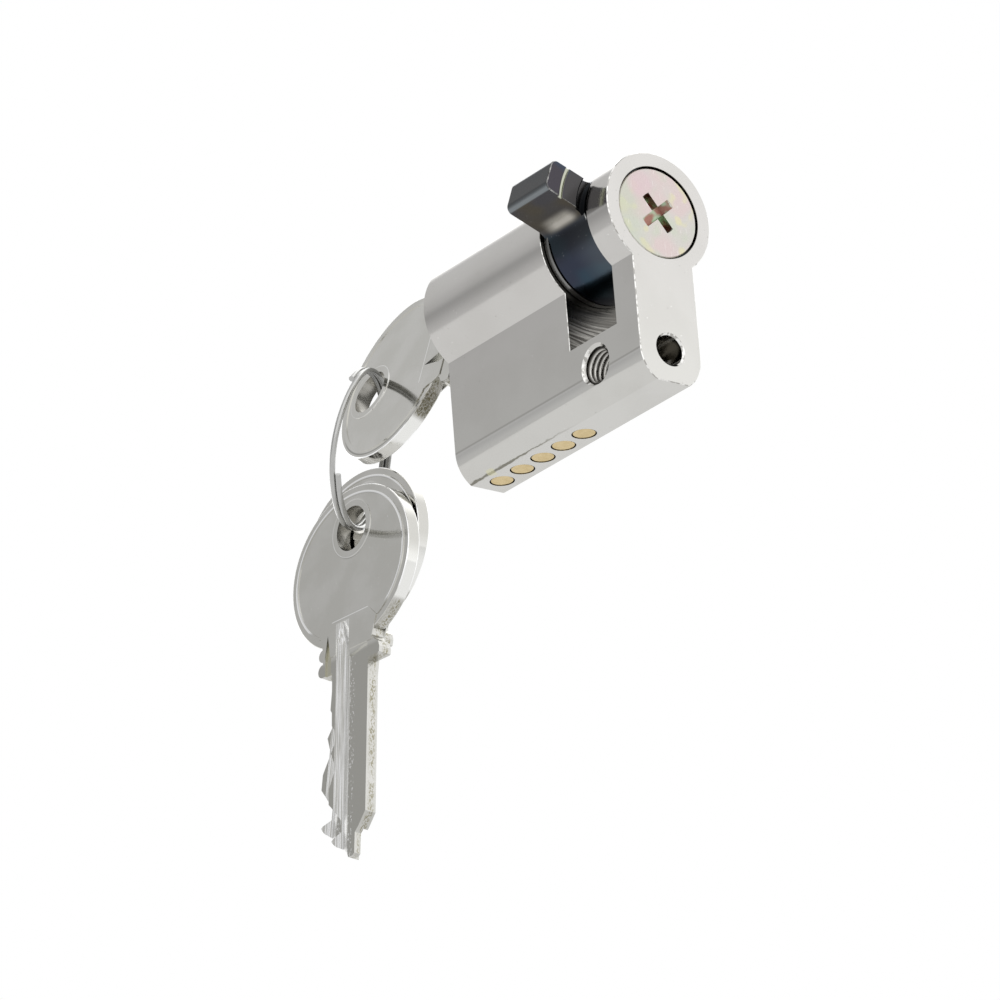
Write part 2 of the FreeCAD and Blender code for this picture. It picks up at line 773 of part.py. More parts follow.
def build():
    nodes = {"cylinder_body": cylinder_body()}
    key = make_key()
    nodes["plug"] = turned(plug())
    nodes["retaining_ring"] = turned(retaining_ring())
    nodes["cam"] = turned(cam())
    nodes["retaining_screw"] = turned(retaining_screw())
    for index in range(pin_count):
        number = index + 1
        nodes[f"key_pin_{number}"] = turned(key_pin(index))
        nodes[f"driver_pin_{number}"] = driver_pin(index)
        nodes[f"pin_spring_{number}"] = pin_spring(index)
        nodes[f"chamber_plug_{number}"] = chamber_plug(index)
    nodes["key_1"] = turned(key_in_plug(key))
    nodes["key_2"] = hanging_key(key, key_2_crossing, key_2_rest, key_2_hang)
    nodes["key_3"] = hanging_key(key, key_3_crossing, key_3_rest, key_3_hang)
    nodes["key_ring"] = key_ring()
    print("first key's hole", [round(value, 4) for value in key_hole_in_plug])
    return nodes


os.makedirs("parts", exist_ok=True)
for name, shape in build().items():
    shape.exportStep(f"parts/{name}.step")
    print(name, shape.isValid(), len(shape.Solids), round(shape.Volume, 2))
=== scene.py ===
import math

import bpy
from mathutils import Matrix, Vector


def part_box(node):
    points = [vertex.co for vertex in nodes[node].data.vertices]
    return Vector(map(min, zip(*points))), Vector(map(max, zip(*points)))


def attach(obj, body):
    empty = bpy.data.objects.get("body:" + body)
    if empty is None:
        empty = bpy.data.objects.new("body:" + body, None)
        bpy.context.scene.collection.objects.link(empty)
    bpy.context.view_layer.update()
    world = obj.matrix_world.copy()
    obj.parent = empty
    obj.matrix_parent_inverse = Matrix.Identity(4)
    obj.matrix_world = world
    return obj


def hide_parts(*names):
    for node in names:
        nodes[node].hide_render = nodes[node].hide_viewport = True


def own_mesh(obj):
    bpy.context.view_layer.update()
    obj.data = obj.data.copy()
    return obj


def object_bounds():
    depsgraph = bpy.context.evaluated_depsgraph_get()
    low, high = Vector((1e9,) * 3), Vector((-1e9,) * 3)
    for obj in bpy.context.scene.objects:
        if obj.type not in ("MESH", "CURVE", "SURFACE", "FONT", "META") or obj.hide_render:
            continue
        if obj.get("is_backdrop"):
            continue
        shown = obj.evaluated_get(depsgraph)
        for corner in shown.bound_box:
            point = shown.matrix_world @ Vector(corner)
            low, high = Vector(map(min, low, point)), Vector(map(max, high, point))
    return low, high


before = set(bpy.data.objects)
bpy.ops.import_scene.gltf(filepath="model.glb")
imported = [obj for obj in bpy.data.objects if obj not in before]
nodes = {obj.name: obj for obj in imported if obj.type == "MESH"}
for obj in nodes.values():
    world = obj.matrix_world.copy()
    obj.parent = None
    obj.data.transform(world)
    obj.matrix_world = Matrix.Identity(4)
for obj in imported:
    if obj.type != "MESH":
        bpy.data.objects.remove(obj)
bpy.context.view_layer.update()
scene = bpy.context.scene
MM = 0.001


# Cylinder body: one bar of brass, drawn to the standard door profile, milled for the cam's slot,
# drilled for plug and pins, and nickel plated. It is the part that stays still in the door.
slot_half_width = 5.0
slot_floor = 3.85
cutter_centre_up = 30.0
cutter_arcs_per_mm = 3.2
cutter_breaks_per_mm = 0.13
foot_round_top = -1.0
foot_flat = -5.2
foot_flat_half_width = 2.713
rear_face = 9.5
rear_hole_up = -0.53
rear_hole_radius = 2.1
rear_hole_bottom = 3.3
plug_axis_up = 19.0
bore_radius = 6.52
blot_across = 2.9
blot_along = -26.2


def linear(colour):
    """An sRGB hex colour as linear values."""
    channels = [int(colour[i:i + 2], 16) / 255 for i in (1, 3, 5)]
    values = [c / 12.92 if c <= 0.04045 else ((c + 0.055) / 1.055) ** 2.4 for c in channels]
    return tuple(values) + (1.0,)


def add(tree, kind, inputs=(), **settings):
    """Adds one node with its settings and gives back its main output.

    The inputs are numbers, hex colours or links, in the order of the sockets or by socket.
    """
    node = tree.nodes.new("ShaderNode" + kind)
    for name, value in settings.items():
        setattr(node, name, value)
    for socket, value in inputs.items() if isinstance(inputs, dict) else enumerate(inputs):
        if isinstance(value, bpy.types.NodeSocket):
            tree.links.new(value, node.inputs[socket])
        else:
            node.inputs[socket].default_value = linear(value) if isinstance(value, str) else value
    return node.outputs[2] if settings.get("data_type") == "RGBA" else node.outputs[0]


def begin_metal(name, colour, roughness):
    """A bare metal: its tree, its shader and the place on the piece in millimetres."""
    material = bpy.data.materials.new(name)
    material.use_nodes = True
    tree = material.node_tree
    shader = tree.nodes["Principled BSDF"]
    shader.inputs["Base Color"].default_value = linear(colour)
    shader.inputs["Metallic"].default_value = 1.0
    shader.inputs["Roughness"].default_value = roughness
    place = add(tree, "TexCoord").node.outputs["Object"]
    place = add(tree, "VectorMath", {0: place, "Scale": 1 / MM}, operation="SCALE")
    return material, tree, shader, place


def finish_metal(tree, shader, colour, roughness, *reliefs):
    """Links what the surface shows. Each relief is a height and its depth in millimetres."""
    if colour is not None:
        tree.links.new(colour, shader.inputs["Base Color"])
    tree.links.new(roughness, shader.inputs["Roughness"])
    below = None
    for height, depth in reliefs:
        bump = {"Strength": 1.0, "Distance": depth * MM, "Height": height}
        if below is not None:
            bump["Normal"] = below
        below = add(tree, "Bump", bump)
        tree.links.new(below, shader.inputs["Normal"])


def grain(tree, place, spacing, detail=2.0):
    """Noise whose features lie about spacing apart along x, y and z, in millimetres."""
    scaled = add(tree, "VectorMath", (place, [1.0 / value for value in spacing]), operation="MULTIPLY")
    return add(tree, "TexNoise", {"Vector": scaled, "Scale": 1.0, "Detail": detail})


def where(tree, *limits):
    """The product of all limits: masks, numbers, or tuples of a source and the range it rises over.

    Two more numbers in a tuple are the values at the range's ends, in place of 0 and 1.
    """
    product = None
    for limit in limits:
        if isinstance(limit, tuple):
            limit = add(tree, "MapRange", limit, interpolation_type="SMOOTHSTEP")
        product = limit if product is None else add(tree, "Math", (product, limit), operation="MULTIPLY")
    return product


def strongest(tree, *masks):
    """The highest of several masks."""
    highest = masks[0]
    for mask in masks[1:]:
        highest = add(tree, "Math", (highest, mask), operation="MAXIMUM")
    return highest


def strip(source, low, high, soft=0.02):
    """The two limits of a strip from low to high with soft ends."""
    return (source, low - soft, low + soft), (source, high - soft, high + soft, 1.0, 0.0)


def paint(tree, colour, coat, *limits):
    """The coat over the colour, as far as all limits hold."""
    return add(tree, "Mix", {0: where(tree, *limits), 6: colour, 7: coat}, data_type="RGBA")


def distance(tree, first, first_centre, second, second_centre):
    """How far a place lies from a centre, in two of its axes."""
    across = add(tree, "Math", (first, first_centre), operation="SUBTRACT")
    up = add(tree, "Math", (second, second_centre), operation="SUBTRACT")
    square = add(tree, "Math", (up, up), operation="MULTIPLY")
    square = add(tree, "Math", (across, across, square), operation="MULTIPLY_ADD")
    return add(tree, "Math", (square,), operation="SQRT")


def dress(name, material):
    """Gives a CAD node its finished material."""
    mesh = nodes[name].data
    mesh.materials.clear()
    mesh.materials.append(material)


def nickel_plated_brass():
    """Nickel plate over drawn brass.

    A glossy warm grey, with faint clouds, dust-fine pits, dull mill cuts and a line of polish on the
    foot, and with painted shade, highlights and reflections.
    """
    material, tree, shader, place = begin_metal("nickel_plate_on_drawn_brass", "#d0cecb", 0.14)
    x, y, z = add(tree, "SeparateXYZ", (place,)).node.outputs
    normal = tree.nodes["Texture Coordinate"].outputs["Normal"]
    tilt_x, tilt_y, tilt_z = [add(tree, "Math", (axis,), operation="ABSOLUTE")
                              for axis in add(tree, "SeparateXYZ", (normal,)).node.outputs]
    drawn = grain(tree, place, (0.3, 14.0, 0.3), 3.0)
    cloud = grain(tree, place, (7.0, 9.0, 7.0), 3.0)
    # The real specks are finer than a pixel; these are about twice their size.
    fleck = grain(tree, place, (0.28, 0.32, 0.28), 1.0)
    colour = paint(tree, "#cfcdca", "#d2d1cd", (z, -4.0, 16.0, 1.0, 0.0))
    colour = paint(tree, colour, "#c4c2bd", (cloud, 0.4, 0.7), 0.25)
    colour = paint(tree, colour, "#f6f6f4", (fleck, 0.765, 0.8), 0.7)
    colour = paint(tree, colour, "#8d8b86", (fleck, 0.235, 0.2), 0.6)

    # The cutter left arcs on the slot's walls. The walls are painted dark as shade, with painted light on
    # the arcs towards the slot's floor.
    wall = where(tree, *strip(y, -slot_half_width - 0.06, slot_half_width + 0.06), (tilt_y, 0.8, 0.9))
    swept = distance(tree, x, 0.0, z, cutter_centre_up)
    arc = (where(tree, swept, cutter_arcs_per_mm), 0.0, where(tree, x, cutter_breaks_per_mm))
    arc = add(tree, "CombineXYZ", arc)
    milled = add(tree, "TexNoise", {"Vector": arc, "Scale": 1.0, "Detail": 3.0})
    shaded_wall_with_arcs = paint(tree, "#63615d", "#b3b1ac", (milled, 0.44, 0.64),
                        (z, slot_floor + 2.5, slot_floor + 7.5, 1.0, 0.0))
    colour = paint(tree, colour, shaded_wall_with_arcs, wall)

    # The rounds beside the foot are painted a little brighter than the flats as a painted highlight, with
    # a painted shade line on the sides where the rounds begin.
    colour = paint(tree, colour, "#eae9e6", (z, foot_round_top - 0.1, foot_round_top, 1.0, 0.0),
                   (tilt_z, 0.03, 0.08), (tilt_z, 0.08, 0.42, 1.0, 0.0))
    colour = paint(tree, colour, "#a9a7a2", *strip(z, foot_round_top - 0.2, foot_round_top + 0.05, 0.16),
                   (tilt_x, 0.8, 0.9), 0.55)

    # The sharp edges get a painted highlight, broken into short bright and dull lengths.
    highlight_break = grain(tree, place, (0.7, 0.5, 0.9), 2.0)
    bevel = where(tree, *strip(tilt_y, 0.3, 0.85))
    colour = paint(tree, colour, "#f6f5f2", bevel, 0.85)
    colour = paint(tree, colour, "#a5a39e", bevel, (highlight_break, 0.4, 0.56, 0.85, 0.0))

    # The plug's bore and the small blind hole are painted a warm dark grey as shade. In the hole three
    # lengthwise streaks are painted reflections, and are not metallic.
    from_axis = distance(tree, x, 0.0, z, plug_axis_up)
    colour = paint(tree, colour, "#aaa7a0", (from_axis, bore_radius + 0.02, bore_radius + 0.05, 1.0, 0.0))
    from_hole = distance(tree, x, 0.0, z, rear_hole_up)
    in_hole = where(tree, (from_hole, rear_hole_radius + 0.05, rear_hole_radius + 0.09, 1.0, 0.0),
                    *strip(y, rear_hole_bottom - 0.5, rear_face - 0.3))
    up = add(tree, "Math", (z, rear_hole_up), operation="SUBTRACT")
    around = add(tree, "Math", (up, where(tree, x, -1.0)), operation="ARCTAN2")
    painted_reflection_streaks = strongest(tree, where(tree, *strip(around, 1.02, 1.22, 0.05), 0.35),
                      where(tree, *strip(around, -0.3, 0.02, 0.08), (y, 6.4, 7.4, 0.9, 0.0)),
                      where(tree, *strip(around, -0.62, -0.45, 0.06), 0.6))
    colour = paint(tree, colour, paint(tree, "#7f7c75", "#c9c6c0", painted_reflection_streaks), in_hole)
    metallic_off_streaks = add(tree, "Math", (1.0, where(tree, in_hole, painted_reflection_streaks)), operation="SUBTRACT")
    tree.links.new(metallic_off_streaks, shader.inputs["Metallic"])

    # Polish has also dried in a dark line along the foot's flat, with a yellow blot beside it.
    rag = grain(tree, place, (0.5, 1.2, 0.5), 4.0)
    edge_at = add(tree, "Math", (rag, 0.5, foot_flat_half_width - 0.1), operation="MULTIPLY_ADD")
    off_edge = add(tree, "Math", (x, edge_at), operation="SUBTRACT")
    off_edge = add(tree, "Math", (off_edge,), operation="ABSOLUTE")
    thickness = where(tree, (y, -24.0, -16.0, 0.25, 0.12))
    share_off = add(tree, "Math", (off_edge, thickness), operation="DIVIDE")
    on_foot = where(tree, (z, foot_flat + 0.4, foot_flat + 0.6, 1.0, 0.0))
    line = where(tree, (share_off, 0.3, 1.0, 1.0, 0.0), on_foot, (y, -20.0, -6.0, 1.0, 0.0))
    colour = paint(tree, colour, "#7d7a6c", line, 0.8)
    from_blot = add(tree, "Math", (distance(tree, x, blot_across, y, blot_along), rag), operation="ADD")
    colour = paint(tree, colour, "#dcd9b4", (from_blot, 1.1, 1.45, 1.0, 0.0), on_foot, 0.6)

    rough = where(tree, (cloud, 0.3, 0.7, 0.12, 0.16))
    rough = add(tree, "Math", (wall, 0.14, rough), operation="MULTIPLY_ADD")
    rough = add(tree, "Math", (line, 0.25, rough), operation="MULTIPLY_ADD")
    finish_metal(tree, shader, colour, rough, (drawn, 0.0008), (where(tree, wall, milled), 0.05))
    return material


body_plate = nickel_plated_brass()
dress("cylinder_body", body_plate)

# Thread of the fixing hole: an M5 thread cut through the slab after drilling. Its crests stand in
# from the plain bore, and it runs out in the countersinks on both sides.
thread_major = 2.49
thread_depth = 0.38
thread_pitch = 0.8
thread_reach = 4.6
thread_run_out = 0.45
thread_root_flat = 0.1
thread_flank = 0.75
thread_seat = 0.005
thread_points_around = 72
thread_steps_per_turn = 10


def cut_thread():
    """Threads cut through the plate: bright at the crests, with painted shade in the roots."""
    material, tree, shader, place = begin_metal("nickel_plate_on_cut_thread", "#b4b2ac", 0.22)
    _, y, z = add(tree, "SeparateXYZ", (place,)).node.outputs
    fine = grain(tree, place, (0.2, 0.2, 0.2))
    radius = distance(tree, y, 0.0, z, 0.0)
    crest = (radius, thread_major - thread_depth, thread_major - 0.06, 1.0, 0.0)
    finish_metal(tree, shader, paint(tree, "#3c3a36", "#dad8d3", crest),
                 where(tree, (fine, 0.3, 0.7, 0.18, 0.3)), (fine, 0.006))
    return material


def fixing_thread():
    """The thread as a sleeve: its turns inside, two rings at its ends and the plain bore outside."""
    around = thread_points_around
    steps = int(2 * thread_reach / thread_pitch * thread_steps_per_turn)
    turns = [2 * math.pi * turn / around for turn in range(around)]
    verts = []
    for step in range(steps + 1):
        x = -thread_reach + 2 * thread_reach * step / steps
        ease = min(1.0, (thread_reach - abs(x)) / thread_run_out)
        for turn, angle in enumerate(turns):
            share = (x / thread_pitch - turn / around) % 1.0
            crest = (1 - thread_root_flat - abs(2 * share - 1)) / thread_flank
            crest = max(0.0, min(1.0, crest))
            radius = thread_major - thread_depth * crest * ease
            verts.append((x * MM, radius * math.cos(angle) * MM, radius * math.sin(angle) * MM))
    inner = len(verts)
    outside = (thread_major + thread_seat) * MM
    for x in (-thread_reach, thread_reach):
        verts += [(x * MM, outside * math.cos(angle), outside * math.sin(angle)) for angle in turns]
    faces = []
    last = steps * around
    for row in range(0, last, around):
        for turn in range(around):
            following = (turn + 1) % around
            faces.append((row + turn, row + following, row + around + following, row + around + turn))
    for turn in range(around):
        following = (turn + 1) % around
        low, low_next = inner + turn, inner + following
        high, high_next = inner + around + turn, inner + around + following
        faces.append((following, turn, low, low_next))
        faces.append((last + turn, last + following, high_next, high))
        faces.append((low_next, low, high, high_next))
    mesh = bpy.data.meshes.new("fixing_thread")
    mesh.from_pydata(verts, [], faces)
    mesh.validate()
    mesh.polygons.foreach_set("use_smooth", [True] * len(mesh.polygons))
    mesh.set_sharp_from_angle(angle=math.radians(50))
    mesh.materials.append(cut_thread())
    piece = bpy.data.objects.new("fixing_thread", mesh)
    scene.collection.objects.link(piece)
    return piece


thread = fixing_thread()
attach(thread, "housing")

# Brass plugs and pins: short turned pieces. The plugs are pressed into the chambers' mouths and
# milled flush with the foot, and close the chambers over springs, driver pins and key pins.
pin_count = 5
pin_pitch = 4.5
stopper_radius = 1.6


def turned_brass(name, colour, dark, rim_from=None, rim_along=0.0):
    """Bare turned brass: warm yellow, satin, with fine rings, a little tarnish and painted shade round
    the rim.
    """
    material, tree, shader, place = begin_metal(name, colour, 0.3)
    cloud = grain(tree, place, (0.9, 0.9, 0.9), 3.0)
    fine = grain(tree, place, (0.12, 0.12, 0.12))
    shade = paint(tree, colour, dark, (cloud, 0.35, 0.7))
    # A dark ring round the plug's rim is painted shade from the gap in its seat.
    if rim_from is not None:
        x, y, _ = add(tree, "SeparateXYZ", (place,)).node.outputs
        along = add(tree, "Math", (y, rim_along), operation="SUBTRACT")
        along = add(tree, "Math", (along, pin_pitch / 2), operation="PINGPONG")
        out = distance(tree, x, 0.0, along, 0.0)
        out = add(tree, "Math", (fine, 0.16, out), operation="MULTIPLY_ADD")
        shade = paint(tree, shade, "#43361f", (out, rim_from, rim_from + 0.05), 0.92)
    finish_metal(tree, shader, shade, where(tree, (fine, 0.3, 0.7, 0.24, 0.38)), (fine, 0.004))
    return material


first_low, first_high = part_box("chamber_plug_1")
first_along = (first_low[1] + first_high[1]) / 2 / MM
stopper_brass = turned_brass("turned_brass_stopper", "#e0ca98", "#d6bf8a",
                             stopper_radius - 0.04, first_along)
pin_brass = turned_brass("turned_brass_pin", "#d9bd74", "#c2a45e")
for number in range(1, pin_count + 1):
    dress(f"chamber_plug_{number}", stopper_brass)
    dress(f"key_pin_{number}", pin_brass)
    dress(f"driver_pin_{number}", pin_brass)

# Driver springs: stainless wire wound on a mandrel, one under each driver pin. They can be seen
# only with the cylinder cut open, and each shortens towards its brass plug as its pin comes down.
spring_wire = 0.35
spring_radius = 1.1
spring_turns = 6.5
spring_steps_per_turn = 16


def drawn_wire(name, colour, roughness):
    """Drawn steel wire: bright, with die lines and a little variation along its length."""
    material, tree, shader, place = begin_metal(name, colour, roughness)
    cloud = grain(tree, place, (1.6, 1.6, 1.6), 3.0)
    fine = grain(tree, place, (0.1, 0.1, 0.1))
    finish_metal(tree, shader, None, where(tree, (cloud, 0.3, 0.7, roughness - 0.05, roughness + 0.08)),
                 (fine, 0.0008))
    return material


def wire_curve(name, points, wire):
    """A round wire through the points, with square cut ends."""
    data = bpy.data.curves.new(name, "CURVE")
    data.dimensions = "3D"
    data.bevel_depth = wire / 2 * MM
    data.bevel_resolution = 6
    data.use_fill_caps = True
    data.resolution_u = 4
    spline = data.splines.new("NURBS")
    spline.points.add(len(points) - 1)
    for index, point in enumerate(points):
        spline.points[index].co = (point[0] * MM, point[1] * MM, point[2] * MM, 1.0)
    spline.order_u = 3
    spline.use_endpoint_u = True
    piece = bpy.data.objects.new(name, data)
    scene.collection.objects.link(piece)
    return piece


spring_steel = drawn_wire("stainless_spring_wire", "#c9c9c6", 0.22)
for number in range(1, pin_count + 1):
    low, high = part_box(f"pin_spring_{number}")
    centre = (low + high) / 2 / MM
    start = low[2] / MM + spring_wire / 2
    rise = (high[2] - low[2]) / MM - spring_wire
    coil = []
    steps = int(spring_turns * spring_steps_per_turn)
    for step in range(steps + 1):
        angle = 2 * math.pi * spring_turns * step / steps
        x = centre[0] + spring_radius * math.cos(angle)
        y = centre[1] + spring_radius * math.sin(angle)
        coil.append((x, y, start + rise * step / steps))
    spring = wire_curve(f"spring_{number}", coil, spring_wire)
    spring.data.materials.append(spring_steel)
    bpy.context.view_layer.objects.active = spring
    spring.select_set(True)
    bpy.ops.object.convert(target="MESH")
    spring.select_set(False)
    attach(spring, "housing")
    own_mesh(spring)
    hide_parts(f"pin_spring_{number}")

# Plug: turned from brass, broached for the keyway, drilled for the key pins and nickel plated like
# the body. It turns in the body, and carries the clip, the cam and the screw on its tail.
dress("plug", body_plate)


# Clip: a ring stamped from spring steel and snapped into the plug's groove behind the body's front
# part. It holds the plug in the body, and shows as a thin dark step at the slot's front wall.
def oiled_spring_steel():
    """Stamped spring steel with an oil film: dark grey, satin."""
    material, tree, shader, place = begin_metal("oiled_spring_steel", "#8a8a88", 0.3)
    cloud = grain(tree, place, (1.2, 1.2, 1.2), 3.0)
    finish_metal(tree, shader, paint(tree, "#7c7c7b", "#9c9c9a", cloud),
                 where(tree, (cloud, 0.3, 0.7, 0.24, 0.38)))
    return material


dress("retaining_ring", oiled_spring_steel())

# Cam: sintered or milled steel on the plug's tail, blackened in hot salt. The finish keeps
# temper colours: blue and violet on the lever's rear side, brown in the root of the flank.
cam_radius = 8.0
lever_tip_radius = 12.4
groove_radius = 12.1
lever_angle = 160.0


def blackened_steel():
    """Hot-blackened steel: near black and satin, with soft blue, violet and straw temper colours."""
    material, tree, shader, place = begin_metal("hot_blackened_steel", "#494a4f", 0.2)
    x, y, z = add(tree, "SeparateXYZ", (place,)).node.outputs
    normal = tree.nodes["Texture Coordinate"].outputs["Normal"]
    facing = add(tree, "SeparateXYZ", (normal,)).node.outputs
    tilt = add(tree, "Math", (facing["Y"],), operation="ABSOLUTE")
    turned = math.radians(lever_angle)
    outward = where(tree, facing["X"], -math.cos(turned))
    outward = add(tree, "Math", (facing["Z"], math.sin(turned), outward), operation="MULTIPLY_ADD")
    radius = distance(tree, x, 0.0, z, plug_axis_up)
    cloud = grain(tree, place, (5.0, 5.0, 5.0), 0.5)
    second = grain(tree, place, (4.2, 6.0, 4.2), 0.5)
    fine = grain(tree, place, (0.15, 0.15, 0.15))
    flat = (tilt, 0.1, 0.25, 1.0, 0.0)
    blue = (cloud, 0.42, 0.6)
    end_face = paint(tree, "#313132", "#2b2c30", blue)
    flank = paint(tree, "#4f4a41", "#48474a", (second, 0.42, 0.6))
    plain = paint(tree, flank, end_face, (outward, 0.7, 0.9))
    # The lever's nose rounds get a painted reflection band.
    plain = paint(tree, plain, "#7f8487", flat, *strip(outward, 0.28, 0.93, 0.12),
                  (radius, lever_tip_radius, lever_tip_radius + 0.4))
    rear_tint = paint(tree, "#48454b", "#3d4857", blue)
    rear_tint = paint(tree, rear_tint, "#4d4c4c", (radius, 11.4, 11.9, 0.85, 0.0))
    ring_tint = paint(tree, "#373c4a", "#354b58", (second, 0.42, 0.62))
    ring_tint = paint(tree, ring_tint, "#565d63", (y, -1.0, 4.5), 0.6)
    # The cam's ring is painted darker on its +X side as shade from the slot.
    ring_tint = paint(tree, ring_tint, "#2b2b2b", (x, 6.6, 7.8), 0.6)
    on_lever = (radius, cam_radius + 0.05, cam_radius + 0.8)
    colour = paint(tree, plain, ring_tint, on_lever + (1.0, 0.0))
    colour = paint(tree, colour, rear_tint, (facing["Y"], 0.5, 0.9), on_lever)

    # A painted reflection of the head lightens the root of the flank. Along the sharp edges the chamfers
    # are painted bright, partly worn through the black finish and partly a painted highlight.
    colour = paint(tree, colour, "#b1ada5", (radius, cam_radius + 0.1, cam_radius + 0.7),
                   (radius, cam_radius + 1.2, cam_radius + 2.6, 1.0, 0.0),
                   (y, -3.6, -0.8), (y, 1.6, 3.6, 1.0, 0.0), flat)
    off_groove = add(tree, "Math", (radius, groove_radius), operation="SUBTRACT")
    off_groove = add(tree, "Math", (off_groove,), operation="ABSOLUTE")
    straw = where(tree, (off_groove, 0.2, 0.34, 1.0, 0.0), (y, 3.9, 4.0))
    colour = paint(tree, colour, "#b9bbab", straw)
    not_straw = add(tree, "Math", (1.0, straw), operation="SUBTRACT")
    worn_and_lit = grain(tree, place, (0.8, 0.8, 0.8))
    colour = paint(tree, colour, "#bcbcb9", *strip(tilt, 0.3, 0.9), (worn_and_lit, 0.4, 0.62, 0.15, 0.85),
                   not_straw, (y, 2.0, 3.0, 0.2, 1.0))
    # The real dust is finer than a pixel.
    dust = grain(tree, place, (0.24, 0.24, 0.24), 1.0)
    colour = paint(tree, colour, "#b9b9b9", (dust, 0.77, 0.8), 0.6)
    finish_metal(tree, shader, colour, where(tree, (fine, 0.3, 0.7, 0.17, 0.25)), (fine, 0.0025))
    return material


dress("cam", blackened_steel())


# Screw: a wide cold-headed screw with a cross recess, which holds the cam on the plug's tail. It is
# zinc plated, with a yellow passivate that shows rainbow tints.
screw_face = 9.35
pink_across = 2.5
pink_up = plug_axis_up + 3.6


def yellow_passivate():
    """Zinc plate with a yellow passivate: satin, pale, clouded with pink, green and straw."""
    material, tree, shader, place = begin_metal("zinc_plate_yellow_passivate", "#d8d2c6", 0.3)
    x, y, z = add(tree, "SeparateXYZ", (place,)).node.outputs
    patches = grain(tree, place, (5.0, 5.0, 5.0), 1.0)
    second = grain(tree, place, (3.1, 3.1, 3.1), 1.5)
    third = grain(tree, place, (2.2, 2.2, 2.2), 1.0)
    fine = grain(tree, place, (0.12, 0.12, 0.12))
    scratch = grain(tree, place, (0.14, 1.0, 1.6), 3.0)
    glint = grain(tree, place, (1.3, 1.0, 1.3), 0.5)
    colour = paint(tree, "#cac7c2", "#d1c2c0", (patches, 0.42, 0.62))
    colour = paint(tree, colour, "#c3c8b9", (second, 0.48, 0.68), 0.8)
    colour = paint(tree, colour, "#d7d2ae", (third, 0.56, 0.7), 0.75)
    colour = paint(tree, colour, "#bfc6b5", (x, 1.0, 5.0), 0.6)
    from_pink = distance(tree, x, pink_across, z, pink_up)
    colour = paint(tree, colour, "#d3bdc1", (from_pink, 1.2, 3.0, 0.8, 0.0))
    colour = paint(tree, colour, "#efeeea", (scratch, 0.66, 0.72), 0.5)
    # Down in the cross recess the colour goes brown, with green glints painted as reflections. The
    # recess's rim gets a broken painted highlight.
    recess = paint(tree, "#a0756a", "#b5cbb0", (glint, 0.4, 0.62))
    colour = paint(tree, colour, recess, (y, screw_face - 0.14, screw_face - 0.04, 1.0, 0.0))
    colour = paint(tree, colour, "#e9e7e0", *strip(y, screw_face - 0.16, screw_face - 0.05, 0.03),
                   (scratch, 0.4, 0.5))
    finish_metal(tree, shader, colour, where(tree, (fine, 0.3, 0.7, 0.26, 0.38)), (fine, 0.002))
    return material


dress("retaining_screw", yellow_passivate())


# Keys: brass blanks, stamped with a bead round the bow and a collar round the hole, form milled
# along the blade, nickel plated, and cut to the pins. Sizes are along y and across z of the key.
# A key's place is a point near the bow's middle, and its turn. The loose keys hang on the ring.
key_places = {
    1: (Vector((0.7866, -47.5, 16.8387)), Matrix.Rotation(math.radians(160), 3, "Y")),
    2: (Vector((2.5636, -57.6823, -6.9054)), None),
    3: (Vector((-0.1785, -58.7453, -3.5714)), None),
}
key_hangs = {2: -91.9, 3: -98.5}
key_lean = -4.5
key_twist = 2.3
key_half = 1.0
bow_centre = 0.4
bead_along = 10.45
bead_across = 11.65
bead_mean_radius = 11.0
key_hole_along = -5.1
key_hole_across = 0.3
key_hole_radius = 3.5
neck_line_along = 7.6
neck_half_width = 4.4
neck_end = 8.0
blade_start = 13.0
groove_low = -2.65
groove_high = 0.2
tip_start = 38.3
tip_groove_low = -3.2
wall_low = -3.0
wall_high = 3.85
rim_rough_from = 8.0
# How much of the bead's line is bright: the key in the lock shows only its dull side.
bead_lit = {1: 0.0, 2: 1.0, 3: 1.0}
# The smooth part of the bow's rim, painted brighter as a highlight on the key in the lock.
bow_rim_highlight_colour = {1: "#f2f1ed", 2: "#c6c5c0", 3: "#c6c5c0"}
# How brown the rim is where the neck ends, most on the key that is used.
neck_scuff = {1: 0.8, 2: 0.3, 3: 0.3}


